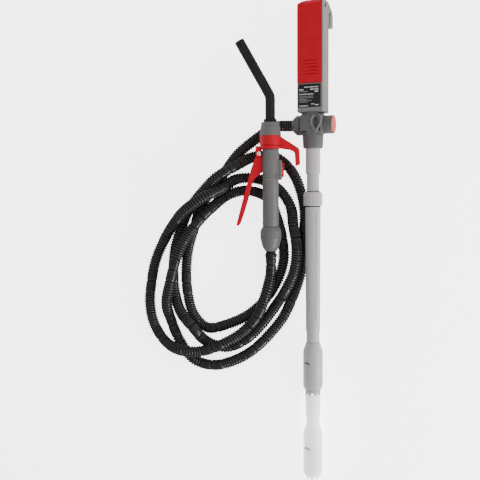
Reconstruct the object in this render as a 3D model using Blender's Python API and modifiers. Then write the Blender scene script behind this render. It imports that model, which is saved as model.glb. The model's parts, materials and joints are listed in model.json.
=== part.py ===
"""Battery transfer pump with telescopic tube, corrugated hose and trigger nozzle.

The pump lies on its hang hook and its foot, rolled a little on its side, and the
hose lies beside it in loose loops with the nozzle on top.  +Y points along the
tube towards the battery head, +Z is up.
"""
import math

import bmesh
import bpy
from mathutils import Matrix, Vector

MM = 0.001

# Where things lie (millimetres and degrees)
DATUM = (-87.41, 5.03, 0.0)          # shift of the whole layout, centres the footprint
PUMP_FOOT = (138.0, -453.3, 17.43)   # foot end of the tube axis
PUMP_RISE = 2.618                    # the head end lies higher, on the hook
PUMP_ROLL = 17.0                     # turned about the tube axis, right side up
NOZZLE_SEAT = (58.7, 170.0, 50.2)    # shoulder of the grip, on the nozzle axis
NOZZLE_RISE = 5.65

GAP = 0.3                            # clearance between touching pieces
TOOL_SPIN = 3.7                      # keeps a cutter's seams off those of the solid it cuts

# Distances along the tube axis, from the foot
FOOT_TUBE = 9.0
FOOT_LOW, FOOT_HIGH = 15.0, 88.0
FOOT_TOP = 105.0
INTAKE_STEP = 122.0
INTAKE_TOP = 162.0
RING_TOP = 171.8
MOTOR_LOW, MOTOR_HIGH = 179.0, 244.0
MOTOR_TOP = 261.5
OUTER_TUBE_LOW, OUTER_TUBE_HIGH = 282.0, 517.5
OUTER_TUBE_END = 535.0
COLLAR_TOP = 543.7
SLEEVE_LOW, SLEEVE_HIGH = 577.0, 643.5
INNER_TUBE_LOW = 300.0
SOCKET_LOW, SOCKET_HIGH = 624.5, 649.0
BARREL_AT = 668.0
HEAD_LOW, LID_LOW, HEAD_HIGH = 690.0, 743.0, 897.0
HINGE_AT = 882.0

# Radii of the tube parts
FOOT_R, MOTOR_R = 18.15, 18.5
NECK_R = 12.3
INTAKE_R = 14.0
OUTER_TUBE_R = (13.4, 14.4)
INNER_TUBE_R = 11.6
SLEEVE_R = 13.7
COLLAR_R = 18.0
SOCKET_R = (18.6, 19.6)
BARREL_R = 17.0
COUPLING_R = 18.5
WALL = 2.0

# Battery head
HEAD_X, HEAD_Y = 25.0, 20.0
HINGE_Y = -5.0
CROWN_R = 15.0
COVER_WALL = 2.1
CORNER_AT = (3.0, 3.0)               # centre of the cover's rounded shoulder, from the hinge
CORNER_SIZE = (28.0, 12.0)
CORNER_STEPS = 14
SHOULDER_BACK = 7.5                  # depth of the solid shoulder, clear of the shelf when open
BATTERY_R, BATTERY_L = 16.8, 61.0
BATTERY_LOW = 749.6
HOOK_X = 24.0
HOOK_LOW = 852.5
LUG_HALF = 2.6
SHELF_AT = 873.6                     # floor of the hinge room, above the batteries
DRUM_R = (10.8, 12.4)

# Nozzle, distances from the grip shoulder, + towards the spout
GRIP_R, GRIP_END = 16.0, -144.5
TAIL_END = -191.7
NOSE_LOW, NOSE_HIGH = 25.3, 50.0
SPOUT_R, SPOUT_BORE = 9.3, 7.6
SPOUT_BEND_AT, SPOUT_BEND_R = 97.7, 26.0
SPOUT_TIP = (-57.0, 199.2)
LEVER_PIVOT = (-21.0, -8.3)
LEVER_HALF = 6.1
STEM_AT = -36.0

# Hose
HOSE_R = 9.6
HOSE_POINTS = 84
HOSE_ROUTE = (
    (99.6, 214.5, 36.2), (64, 214, 25.2), (29, 193, 15.5), (-6, 165, 10), (-31, 131, 10),
    (-56, 98, 10), (-78, 62, 10), (-91, 22, 10), (-102, -18, 10), (-106, -60, 10),
    (-103, -102, 10), (-92, -142, 10), (-64, -169, 10), (-23, -161, 10), (15, -143, 10),
    (46, -115, 10), (69, -80, 10), (82, -40, 10), (80, 1, 10), (70, 42, 10),
    (52, 80, 10), (14, 95, 10), (-26, 86, 10), (-56, 61, 21), (-83, 31, 34),
    (-108, -2, 32), (-124, -41, 34), (-134, -82, 34), (-142, -122, 26), (-134, -159, 10),
    (-117, -197, 10), (-91, -230, 10), (-52, -241, 10), (-11, -231, 10), (25, -210, 10),
    (55, -181, 10), (81, -148, 10), (99, -110, 10), (113, -70, 10), (119, -29, 10),
    (121, 13, 10), (122, 55, 10), (114, 96, 10), (96, 134, 10), (64, 160, 10),
    (24, 159, 14), (-9, 140, 31), (-45, 119, 34), (-74, 89, 33), (-99, 57, 25),
    (-116, 23, 10), (-128, -18, 10), (-131, -60, 10), (-128, -102, 10), (-115, -138, 22),
    (-89, -168, 33), (-66, -195, 13), (-27, -206, 10), (11, -190, 10), (41, -161, 10),
    (66, -127, 13), (87, -94, 28), (103, -56, 31), (107, -14, 31), (101, 26, 23),
    (95, 65, 10), (71, 99, 10), (33, 117, 10), (-8, 117, 13), (-37, 96, 34),
    (-69, 79, 55), (-103, 56, 49), (-129, 29, 30), (-150, -2, 11), (-166, -40, 10),
    (-174, -81, 10), (-177, -123, 10), (-168, -164, 10), (-144, -197, 17), (-110, -211, 34),
    (-69, -211, 31), (-30, -196, 32), (5, -175, 29), (33, -144, 32), (48, -105, 34),
    (57.8, -64, 26.6), (58.7, -21.4, 31.2),
)

# Colours
RED = (0.52, 0.016, 0.020)
DARK_GREY = (0.19, 0.19, 0.185)
MID_GREY = (0.33, 0.33, 0.325)
TUBE_GREY = (0.52, 0.51, 0.50)
MILKY = (0.74, 0.73, 0.71)
BLACK = (0.014, 0.013, 0.013)
STEEL = (0.62, 0.62, 0.62)
BRASS = (0.60, 0.42, 0.18)


# ---------------------------------------------------------------- scene helpers

def clear_scene():
    for old in list(bpy.data.objects):
        bpy.data.objects.remove(old, do_unlink=True)


def collection(name):
    made = bpy.data.collections.new(name)
    bpy.context.scene.collection.children.link(made)
    return made


def scaled(point):
    return Vector(point) * MM


def frame(name, parent, at=(0, 0, 0), turns=()):
    """An empty at a place in its parent, turned by (angle, axis) pairs in order."""
    empty = bpy.data.objects.new(name, None)
    PARTS.objects.link(empty)
    empty.parent = parent
    spin = Matrix.Identity(4)
    for angle, axis in turns:
        spin = Matrix.Rotation(math.radians(angle), 4, axis) @ spin
    empty.matrix_local = Matrix.Translation(scaled(at)) @ spin
    return empty


def paint(obj, colour, roughness=0.45, metallic=0.0):
    skin = bpy.data.materials.new(obj.name)
    skin.use_nodes = True
    shader = skin.node_tree.nodes["Principled BSDF"]
    shader.inputs["Base Color"].default_value = (*colour, 1.0)
    shader.inputs["Roughness"].default_value = roughness
    shader.inputs["Metallic"].default_value = metallic
    obj.data.materials.clear()
    obj.data.materials.append(skin)
    return obj


def place(name, data, parent, tool):
    obj = bpy.data.objects.new(name, data)
    (TOOLS if tool else PARTS).objects.link(obj)
    obj.parent = parent
    if tool:
        obj.hide_render = True
        obj.display_type = "WIRE"
    return obj


def boolean(obj, tool, operation):
    step = obj.modifiers.new(operation.title(), "BOOLEAN")
    step.operation = operation
    step.solver = "EXACT"
    step.object = tool
    return obj


def cut(obj, *tools):
    for tool in tools:
        boolean(obj, tool, "DIFFERENCE")
    return obj


def join(obj, *tools):
    for tool in tools:
        boolean(obj, tool, "UNION")
    return obj


def bevel(obj, width, segments=3):
    step = obj.modifiers.new("Bevel", "BEVEL")
    step.width = width * MM
    step.segments = segments
    step.limit_method = "ANGLE"
    step.angle_limit = math.radians(40)
    return obj


# ---------------------------------------------------------------- shape helpers

def turned(name, outline, parent, at=(0, 0, 0), along="Z", steps=40, tool=False):
    """A turned shape; the outline's (radius, height) points run down the outside first."""
    mesh = bpy.data.meshes.new(name)
    count = len(outline)
    edges = [(i, i + 1) for i in range(count - 1)]
    if outline[0][0] > 0:
        edges.append((count - 1, 0))
    mesh.from_pydata([(r * MM, 0.0, z * MM) for r, z in outline], edges, [])
    obj = place(name, mesh, parent, tool)
    aim(obj, at, along, tool)
    screw = obj.modifiers.new("Screw", "SCREW")
    screw.steps = steps
    screw.render_steps = steps
    screw.use_merge_vertices = True
    screw.merge_threshold = 0.00002
    return obj


def aim(obj, at, along, tool):
    """Put a shape made along Z at a place, with its axis along X, Y or Z."""
    obj.location = scaled(at)
    obj.rotation_mode = "ZYX"
    if along == "X":
        obj.rotation_euler.y = math.radians(90)
    if along == "Y":
        obj.rotation_euler.x = math.radians(-90)
    if tool:
        obj.rotation_euler.z = math.radians(TOOL_SPIN)


def rod(name, radius, low, high, parent, at=(0, 0, 0), along="Z", steps=40, tool=False):
    mesh = bpy.data.meshes.new(name)
    shape = bmesh.new()
    bmesh.ops.create_cone(shape, cap_ends=True, segments=steps, radius1=radius * MM, radius2=radius * MM,
                          depth=(high - low) * MM, matrix=Matrix.Translation((0, 0, (low + high) / 2 * MM)))
    shape.to_mesh(mesh)
    shape.free()
    obj = place(name, mesh, parent, tool)
    aim(obj, at, along, tool)
    return obj


def ring(name, outer, inner, low, high, parent, **options):
    outline = [(outer, high), (outer, low), (inner, low), (inner, high)]
    return turned(name, outline, parent, **options)


def block(name, low, high, parent, tool=False):
    mesh = bpy.data.meshes.new(name)
    shape = bmesh.new()
    bmesh.ops.create_cube(shape, size=1.0)
    middle = (scaled(low) + scaled(high)) / 2
    size = scaled(high) - scaled(low)
    for vertex in shape.verts:
        vertex.co = Vector(a * b for a, b in zip(vertex.co, size)) + middle
    shape.to_mesh(mesh)
    shape.free()
    return place(name, mesh, parent, tool)


def prism(name, outline, low, high, parent, along="Y", at=(0, 0, 0), tool=False):
    """A flat outline drawn out along an axis: (y, z) points along X, (x, z) points along Y."""
    curve = bpy.data.curves.new(name, "CURVE")
    curve.dimensions = "2D"
    curve.fill_mode = "BOTH"
    curve.extrude = (high - low) / 2 * MM
    spline = curve.splines.new("POLY")
    spline.points.add(len(outline) - 1)
    spline.use_cyclic_u = True
    for point, (u, v) in zip(spline.points, outline):
        point.co = (u * MM, v * MM, 0.0, 1.0)
    source = bpy.data.objects.new(name + "_outline", curve)
    mesh = bpy.data.meshes.new_from_object(source)
    bpy.data.objects.remove(source)
    shape = bmesh.new()
    shape.from_mesh(mesh)
    bmesh.ops.remove_doubles(shape, verts=shape.verts, dist=0.000001)
    middle = (low + high) / 2 * MM
    if along == "X":
        turn = Matrix(((0, 0, 1, middle), (1, 0, 0, 0), (0, 1, 0, 0), (0, 0, 0, 1)))
    else:
        turn = Matrix(((1, 0, 0, 0), (0, 0, -1, middle), (0, 1, 0, 0), (0, 0, 0, 1)))
    bmesh.ops.transform(shape, matrix=turn, verts=shape.verts)
    bmesh.ops.recalc_face_normals(shape, faces=shape.faces)
    shape.to_mesh(mesh)
    shape.free()
    obj = place(name, mesh, parent, tool)
    obj.location = scaled(at)
    return obj


def arc(centre, radius, start, stop, count):
    """Points on a circle from one angle to another, in degrees."""
    points = []
    for i in range(count + 1):
        angle = math.radians(start + (stop - start) * i / count)
        points.append((centre[0] + radius * math.cos(angle), centre[1] + radius * math.sin(angle)))
    return points


def wire_curve(name, points, radius, resolution=4):
    curve = bpy.data.curves.new(name, "CURVE")
    curve.dimensions = "3D"
    curve.bevel_depth = radius * MM
    curve.bevel_resolution = resolution
    curve.use_fill_caps = True
    spline = curve.splines.new("POLY")
    spline.points.add(len(points) - 1)
    for point, place_at in zip(spline.points, points):
        point.co = (*scaled(place_at), 1.0)
    return curve


def pipe(name, points, radius, parent, resolution=4):
    return place(name, wire_curve(name, points, radius, resolution), parent, False)


def solid_pipe(name, points, radius, parent, resolution=8, tool=False):
    """A pipe as a welded mesh, so that it can be cut."""
    source = bpy.data.objects.new(name + "_path", wire_curve(name, points, radius, resolution))
    mesh = bpy.data.meshes.new_from_object(source)
    bpy.data.objects.remove(source)
    shape = bmesh.new()
    shape.from_mesh(mesh)
    bmesh.ops.remove_doubles(shape, verts=shape.verts, dist=0.000001)
    bmesh.ops.recalc_face_normals(shape, faces=shape.faces)
    shape.to_mesh(mesh)
    shape.free()
    return place(name, mesh, parent, tool)


# ---------------------------------------------------------------- battery head

def head_housing(pump):
    """Grey case: closed block below, battery bay above, open in front for the cover."""
    body = block("head_housing", (-HEAD_X, -HEAD_Y, HEAD_LOW), (HEAD_X, HEAD_Y, HEAD_HIGH), pump)
    bevel(body, 2.4)
    inner_x, inner_y = HEAD_X - 2.2, HEAD_Y - 2.3
    hinge = (HINGE_Y, HINGE_AT)
    bay = block("bay_cut", (-inner_x, -inner_y, 746), (inner_x, inner_y, HEAD_HIGH + 5), pump, True)
    front = block("front_cut", (-HEAD_X - 1, -HEAD_Y - 1, LID_LOW), (inner_x, -8, HEAD_HIGH + 5),
                  pump, True)
    swing = prism("swing_cut", arc(hinge, CROWN_R + 0.4, 0, 350, 35), -HEAD_X - 1, 0, pump, "X", tool=True)
    board_room = block("board_cut", (-inner_x, -inner_y, HEAD_LOW + 3), (inner_x, inner_y, LID_LOW - 1),
                       pump, True)
    cable_way = rod("cable_cut", 5.0, HEAD_LOW - 2, HEAD_LOW + 5, pump, tool=True)
    contact_way = block("contact_cut", (-8, 9, LID_LOW - 3), (8, 13, LID_LOW + 5), pump, True)
    cut(body, bay, front, swing, board_room, cable_way, contact_way)
    shelf = block("shelf_add", (-22.3, -17, SHELF_AT), (20.1, inner_y + 1, SHELF_AT + 2), pump, True)
    root = SHELF_AT + 1
    crest = arc(hinge, DRUM_R[1], 175, 5, 24)
    hollow = arc(hinge, DRUM_R[0], 5, 175, 24)
    skirt = [(HINGE_Y - DRUM_R[1], root), *crest, (HINGE_Y + DRUM_R[1], root), (HINGE_Y + DRUM_R[0], root),
             *hollow, (HINGE_Y - DRUM_R[0], root)]
    tunnel = prism("drum_add", skirt, -1, 20.1, pump, "X", tool=True)
    lug = block("lug_add", (-22.3, HINGE_Y - LUG_HALF, root),
                (-19.8, HINGE_Y + LUG_HALF, HINGE_AT + LUG_HALF), pump, True)
    join(body, shelf, tunnel, lug)
    cut(body, rod("pin_cut", 1.6, -27, 27, pump, at=(0, HINGE_Y, HINGE_AT), along="X", steps=24, tool=True))
    for side in (-1, 1):
        hole = rod(f"hook_screw_cut_{side}", 1.6, 16, 21, pump, at=(14 * side, 0, 864), along="Y", steps=20,
                   tool=True)
        cut(body, hole)
    return paint(body, MID_GREY)


def battery_cover(pump):
    """Red cover with a half-round crown about its hinge pin and ears at both sides."""
    hinge = frame("cover_hinge", pump, (0, HINGE_Y, HINGE_AT))
    low = LID_LOW + GAP - HINGE_AT
    back = -3.3
    ear_end = -math.degrees(math.acos(back / CROWN_R))
    outer = [(back, low), (-CROWN_R, low), *arc((0, 0), CROWN_R, 180, ear_end, 36)]
    cover = prism("battery_cover", outer, -HEAD_X, HEAD_X - 2.5, hinge, "X")
    inside = CROWN_R - COVER_WALL
    crown_end = 55
    hollow_line = [(20, low + COVER_WALL), (-inside, low + COVER_WALL),
                   *arc((0, 0), inside, 180, crown_end, 20)]
    edge = arc((0, 0), CROWN_R + 2, crown_end, crown_end - 1, 1)[0]
    hollow_line += [edge, (20, edge[1])]
    hollow = prism("cover_hollow", hollow_line, -HEAD_X + 2.4, HEAD_X - 4.6, hinge, "X", tool=True)
    trim_in = corner_tool("corner_in", COVER_WALL + 0.3, SHOULDER_BACK, hinge)
    trim_out = corner_tool("corner_out", 0.0, 40, hinge)
    cut(hollow, trim_in)
    cut(cover, hollow, trim_out)
    cut(cover, rod("ear_cut", 1.6, -27, 27, hinge, along="X", steps=24, tool=True))
    for row in range(5):
        height = 767.5 + 4.2 * row - HINGE_AT
        groove = block(f"groove_{row}", (-13.5, -CROWN_R - 1, height - 0.9),
                       (13.5, -CROWN_R + 0.8, height + 0.9), hinge, True)
        cut(cover, groove)
    return paint(cover, RED, 0.38)


def corner_tool(name, inset, back, hinge):
    """What the cover's long rounded shoulder leaves out, for its outer or inset face, up to a depth."""
    x, z = CORNER_AT
    wide, tall = CORNER_SIZE
    line = []
    for i in range(CORNER_STEPS + 1):
        angle = math.pi - math.pi / 2 * i / CORNER_STEPS
        line.append((x + (wide - inset) * math.cos(angle), z + (tall - inset) * math.sin(angle)))
    outline = [(-HEAD_X - 5, z), *line, (x, CROWN_R * 2), (-HEAD_X - 5, CROWN_R * 2)]
    return prism(name, outline, -40, back, hinge, tool=True)


def head_contents(pump):
    pin = rod("cover_hinge_pin", 1.5, -24.6, 24.6, pump, at=(0, HINGE_Y, HINGE_AT), along="X", steps=24)
    paint(pin, STEEL, 0.3, 1.0)
    for name, low in (("battery_lower", BATTERY_LOW), ("battery_upper", BATTERY_LOW + BATTERY_L + GAP)):
        top = low + BATTERY_L
        outline = [(0, top), (5, top), (5, top - 1.5), (BATTERY_R, top - 1.5), (BATTERY_R, low), (0, low)]
        paint(turned(name, outline, pump), BLACK, 0.4)
    turns = 2.25
    steps = 54
    spiral = []
    for i in range(steps + 1):
        angle = 2 * math.pi * turns * i / steps
        radius = 9.0 - 5.0 * i / steps
        spiral.append((radius * math.cos(angle), radius * math.sin(angle), 747.0 + 1.6 * i / steps))
    paint(pipe("contact_spring", spiral, 0.6, pump, 2), STEEL, 0.25, 1.0)
    top = BATTERY_LOW + 2 * BATTERY_L + 2 * GAP
    paint(block("contact_plate", (-13, -6, top), (13, 6, top + 0.8), pump), BRASS, 0.3, 1.0)
    paint(block("control_board", (-20, -2, 697), (20, -0.4, 738), pump), (0.02, 0.12, 0.05), 0.5)
    label = block("label_plate", (-22.4, -HEAD_Y - 0.8, 699), (20.5, -HEAD_Y - GAP, 741.3), pump)
    paint(bevel(label, 0.2, 1), BLACK, 0.3)


def hang_hook(pump):
    """Clip on the back of the head that hangs the pump on a drum rim."""
    face = HEAD_Y + GAP
    outline = [(face, 858), (face + 2.6, 858), (face + 2.6, 873), (27, 879), (32, 876), (32, HOOK_LOW),
               (47.5, HOOK_LOW), (47.5, 880), (41, 886), (25, 893.5), (face, 893.5)]
    hook = prism("hang_hook", outline, -HOOK_X, HOOK_X, pump, "X")
    bevel(hook, 0.8, 2)
    for side in (-1, 1):
        at = (14 * side, 0, 864)
        hole = rod(f"hook_hole_{side}", 1.6, 19, 24, pump, at=at, along="Y", steps=20, tool=True)
        cut(hook, hole)
        name = "hook_screw_right" if side > 0 else "hook_screw_left"
        head_low = face + 2.6 + GAP
        line = [(0, head_low + 1.8), (2.8, head_low + 1.8), (2.8, head_low), (1.4, head_low), (1.4, 18),
                (0, 18)]
        paint(turned(name, line, pump, at=at, along="Y", steps=20), STEEL, 0.3, 1.0)
    paint(hook, MID_GREY)
    pad = block("hook_pad", (-HOOK_X, 47.5 + GAP, HOOK_LOW + 0.5), (HOOK_X, 51.8, 879), pump)
    paint(bevel(pad, 0.8, 2), RED, 0.38)


# ---------------------------------------------------------------- outlet tee

def pump_tee(pump):
    """Grey tee under the head: socket for the tube, barrel for the outlet and the switch."""
    upright = turned("pump_tee", [
        (0, HEAD_LOW - GAP), (21.0, HEAD_LOW - GAP), (21.0, 685.0), (19.0, 683.5), (19.0, 662),
        (SOCKET_R[1], SOCKET_HIGH), (SOCKET_R[0], SOCKET_LOW + 2), (SOCKET_R[0] - 2, SOCKET_LOW),
        (SLEEVE_R + 0.2, SOCKET_LOW), (SLEEVE_R + 0.2, SLEEVE_HIGH + GAP), (0, SLEEVE_HIGH + GAP)], pump)
    at = (0, 0, BARREL_AT)
    barrel = rod("barrel_add", BARREL_R, -21, 40, pump, at=at, along="X", tool=True)
    stub = rod("stub_add", 14.0, -33, -20, pump, at=at, along="X", tool=True)
    join(upright, barrel, stub)
    cut(upright,
        rod("riser_cut", 9.8, SLEEVE_HIGH - 1, BARREL_AT + 1.7, pump, steps=36, tool=True),
        rod("outlet_cut", 8.0, -35, 2, pump, at=at, along="X", steps=36, tool=True),
        turned("switch_cut", [(0, 42), (15.9, 42), (15.9, 33), (13.5, 33), (13.5, 13), (0, 13)], pump,
               at=at, along="X", steps=36, tool=True),
        rod("wire_cut", 4.0, 680, 692, pump, tool=True),
        block("wire_turn_cut", (-3, -3, 679), (16, 3, 682), pump, True))
    return paint(upright, DARK_GREY)


def outlet_parts(pump):
    axis = frame("barrel_axis", pump, (0, 0, BARREL_AT), ((90, "Y"),))
    button = turned("power_button", [
        (0, 41.2), (8, 40.9), (13.5, 40.2), (15.6, 39.2), (15.6, 36.6), (5, 36.6), (5, 30), (0, 30)], axis)
    paint(button, RED, 0.35)
    switch = block("switch_body", (-6, -8, 15), (6, 8, 26), axis)
    paint(switch, BLACK, 0.5)
    nut = turned("hose_coupling_nut", [
        (COUPLING_R - 0.6, -21 - GAP), (COUPLING_R, -22), (COUPLING_R, -31), (10.6, -39.1), (8.6, -39.1),
        (8.6, -35.4), (14.3, -35.4), (14.3, -21 - GAP)], axis)
    paint(nut, DARK_GREY)
    barb = turned("hose_barb", [
        (12.5, -33.2), (12.5, -35.1), (7.6, -35.1), (7.6, -39.0), (6.0, -39.0), (6.0, -33.2)], axis)
    paint(barb, BLACK, 0.5)


# ---------------------------------------------------------------- telescopic tube

def upper_tubes(pump):
    paint(ring("upper_sleeve", SLEEVE_R, 11.9, SLEEVE_LOW, SLEEVE_HIGH, pump), TUBE_GREY, 0.4)
    paint(ring("inner_tube", INNER_TUBE_R, 9.8, INNER_TUBE_LOW, 640, pump), TUBE_GREY, 0.4)


def lower_tubes(pump):
    """Everything that slides with the outer tube: clamp, pump and motor bulb."""
    bore = 12.0
    outer = turned("outer_tube", [
        (13.3, OUTER_TUBE_END), (13.3, OUTER_TUBE_HIGH), (OUTER_TUBE_R[1], OUTER_TUBE_HIGH - GAP),
        (OUTER_TUBE_R[0], OUTER_TUBE_LOW + 1), (NECK_R, OUTER_TUBE_LOW - 1), (NECK_R, MOTOR_TOP + GAP),
        (NECK_R - 2.2, MOTOR_TOP + GAP), (NECK_R - 2.2, OUTER_TUBE_LOW), (bore, OUTER_TUBE_LOW + 4),
        (bore, OUTER_TUBE_END)], pump)
    paint(outer, TUBE_GREY, 0.4)
    seal = ring("collar_seal", 13.3, 11.9, OUTER_TUBE_END + GAP, OUTER_TUBE_END + 3.4, pump)
    paint(seal, BLACK, 0.7)
    low = OUTER_TUBE_HIGH + GAP
    nut = turned("collar_nut", [
        (15.4, COLLAR_TOP), (17.2, COLLAR_TOP - 2.2), (COLLAR_R, COLLAR_TOP - 5), (COLLAR_R, low + 3.2),
        (COLLAR_R - 0.8, low), (13.8, low), (13.8, OUTER_TUBE_END + 3.8), (11.95, OUTER_TUBE_END + 3.8),
        (11.95, COLLAR_TOP)], pump, steps=48)
    paint(nut, TUBE_GREY, 0.4)
    shell = turned("pump_housing", [
        (NECK_R, MOTOR_TOP), (NECK_R + 1.2, MOTOR_TOP - 2), (MOTOR_R, MOTOR_HIGH), (MOTOR_R, MOTOR_LOW),
        (MOTOR_R - 2.6, RING_TOP + GAP), (12.0, RING_TOP + GAP), (12.0, 175.5), (MOTOR_R - WALL, 180.5),
        (MOTOR_R - WALL, MOTOR_HIGH - 1), (NECK_R - 2.2, MOTOR_TOP - 3), (NECK_R - 2.2, MOTOR_TOP)],
        pump, steps=48)
    paint(shell, TUBE_GREY, 0.4)
    motor = turned("motor_can", [(0, 238), (13, 238), (15, 236), (15, 194), (13, 192), (0, 192)], pump)
    paint(motor, STEEL, 0.35, 1.0)
    seal = ring("shaft_seal", 6.0, 1.58, 188, 191.7, pump, steps=24)
    paint(seal, BLACK, 0.7)


def rotor(pump):
    paint(rod("motor_shaft", 1.5, 187.2, 191.6, pump, steps=24), STEEL, 0.3, 1.0)
    wheel = rod("impeller", 4.0, 177.0, 186.9, pump, steps=24)
    blades = 6
    for i in range(blades):
        holder = frame(f"blade_{i}_axis", pump, (0, 0, 0), ((360 / blades * i + 7, "Z"),))
        join(wheel, block(f"blade_{i}", (2, -0.6, 178), (10.8, 0.6, 185), holder, True))
    paint(wheel, (0.6, 0.6, 0.58), 0.5)


def notches(pump, name, obj, count, low, high, width, reach):
    """Cut evenly spaced gaps in a tube's end."""
    for i in range(count):
        holder = frame(f"{name}_{i}_axis", pump, (0, 0, 0), ((360 / count * i + 12, "Z"),))
        gap = block(f"{name}_{i}", (reach - 4, -width / 2, low), (reach + 4, width / 2, high), holder, True)
        cut(obj, gap)


def intake_parts(pump):
    """Translucent intake with its foot bulb, strainer and foot valve."""
    lock = ring("lock_ring", 14.4, 12.2, INTAKE_TOP + GAP, RING_TOP, pump, steps=48)
    notches(pump, "lock_notch", lock, 8, INTAKE_TOP - 1, INTAKE_TOP + 4.3, 4.6, 13.3)
    paint(lock, TUBE_GREY, 0.4)
    tube = turned("intake_tube", [
        (INTAKE_R, INTAKE_TOP), (INTAKE_R, INTAKE_STEP + 1), (12.5, INTAKE_STEP - 1), (12.5, FOOT_TOP + GAP),
        (10.4, FOOT_TOP + GAP), (10.4, INTAKE_STEP + 1), (12.0, INTAKE_STEP + 4), (12.0, INTAKE_TOP)], pump)
    paint(tube, MILKY, 0.35)
    foot = turned("intake_foot", [
        (12.5, FOOT_TOP), (13.6, FOOT_TOP - 2), (FOOT_R, FOOT_HIGH), (FOOT_R, FOOT_LOW), (16.2, FOOT_TUBE),
        (12.2, FOOT_TUBE), (12.2, 0), (10.2, 0), (10.2, 16), (13.0, 18.5), (FOOT_R - WALL, 18.5),
        (FOOT_R - WALL, FOOT_HIGH - 1), (10.4, FOOT_TOP - 3), (10.4, FOOT_TOP)], pump, steps=48)
    notches(pump, "foot_notch", foot, 6, -1, 5.2, 5.6, 11.2)
    paint(foot, MILKY, 0.35)
    screen = rod("strainer_screen", 15.8, 60, 61.6, pump)
    for i in range(6):
        holder = frame(f"screen_{i}_axis", pump, (0, 0, 0), ((60 * i, "Z"),))
        cut(screen, rod(f"screen_hole_{i}", 3.0, 58, 64, holder, at=(9.5, 0, 0), steps=16, tool=True))
    cut(screen, rod("screen_hole_mid", 3.0, 58, 64, pump, steps=16, tool=True))
    paint(screen, STEEL, 0.4, 1.0)
    disc = turned("check_valve_disc", [
        (0, 26), (2, 26), (2, 21.3), (12.4, 20.6), (12.4, 18.9), (0, 18.9)], pump)
    paint(disc, BLACK, 0.6)


# ---------------------------------------------------------------- nozzle

def spout_path(start, stop_short):
    """Centre line of the spout: straight, one bend, straight to the tip."""
    bend = Vector((0, SPOUT_BEND_AT))
    tip = Vector(SPOUT_TIP)
    way = (tip - bend).normalized()
    angle = math.atan2(-way.x, way.y)
    trim = SPOUT_BEND_R * math.tan(angle / 2)
    centre = Vector((-SPOUT_BEND_R, SPOUT_BEND_AT - trim))
    path = [Vector((0, start))]
    steps = 8
    for i in range(steps + 1):
        turn = angle * i / steps
        path.append(centre + SPOUT_BEND_R * Vector((math.cos(turn), math.sin(turn))))
    path.append(tip + way * stop_short)
    return [(point.x, 0, point.y) for point in path]


def nozzle_front(nozzle):
    spout = solid_pipe("spout", spout_path(40, 0), SPOUT_R, nozzle)
    cut(spout, solid_pipe("spout_cut", spout_path(38, 2), SPOUT_BORE, nozzle, tool=True))
    paint(spout, BLACK, 0.35)
    paint(ring("spout_ferrule", 12.3, 9.6, NOSE_HIGH + GAP, 55.5, nozzle), MID_GREY)
    nose = turned("nozzle_nose", [
        (15.8, NOSE_HIGH), (17.0, NOSE_HIGH - 1.4), (17.4, 42.5), (18.4, 40), (20.2, NOSE_LOW + 2),
        (20.2, NOSE_LOW), (7.0, NOSE_LOW), (7.0, 39.5), (9.6, 39.5), (9.6, NOSE_HIGH)], nozzle)
    paint(nose, DARK_GREY)


def guard_collar(nozzle):
    """Red collar with the lever's two cheeks on one side and the guard arm on the other."""
    collar = ring("guard_collar", 20.0, 14.3, GAP, NOSE_LOW - GAP, nozzle, steps=48)
    bevel(collar, 0.6, 2)
    flange_line = [(-15, 0.4), (-15, 5.6), (-27.1, 5.6), (-27.1, 0.4)]
    flange = prism("flange_add", flange_line, -8.9, 8.9, nozzle, tool=True)
    arm_line = [(17.6, 24.0), (19.6, 23.0), (51.2, 2.5), (53.4, 0.3), (54.3, -2.6), (55.8, -29),
                (46.7, -32.7), (45.2, -8), (43, -5.4), (36.4, -2.4), (19.5, 0.2), (17.6, 0.6)]
    arm = prism("guard_arm_add", arm_line, -5.0, 5.0, nozzle, tool=True)
    join(collar, flange, arm)
    cheek_line = [(-16.7, 3), (-27.1, 3), (-27.8, -4), (-26.2, -14.4), (-17.4, -14.4), (-16.7, -12)]
    pivot = (LEVER_PIVOT[0], 0, LEVER_PIVOT[1])
    for side in (-1, 1):
        low, high = sorted((6.5 * side, 8.9 * side))
        join(collar, prism(f"cheek_add_{side}", cheek_line, low, high, nozzle, tool=True))
    cut(collar, rod("pivot_cut", 2.06, -12, 12, nozzle, at=pivot, along="Y", steps=24, tool=True))
    paint(collar, RED, 0.38)
    line = [(0, 9.0), (2.0, 9.0), (2.0, -9.2), (3.8, -9.2), (3.8, -10.3), (3.0, -10.8), (0, -10.8)]
    pin = turned("lever_pin", line, nozzle, at=pivot, along="Y", steps=24)
    paint(pin, STEEL, 0.25, 1.0)


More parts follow.
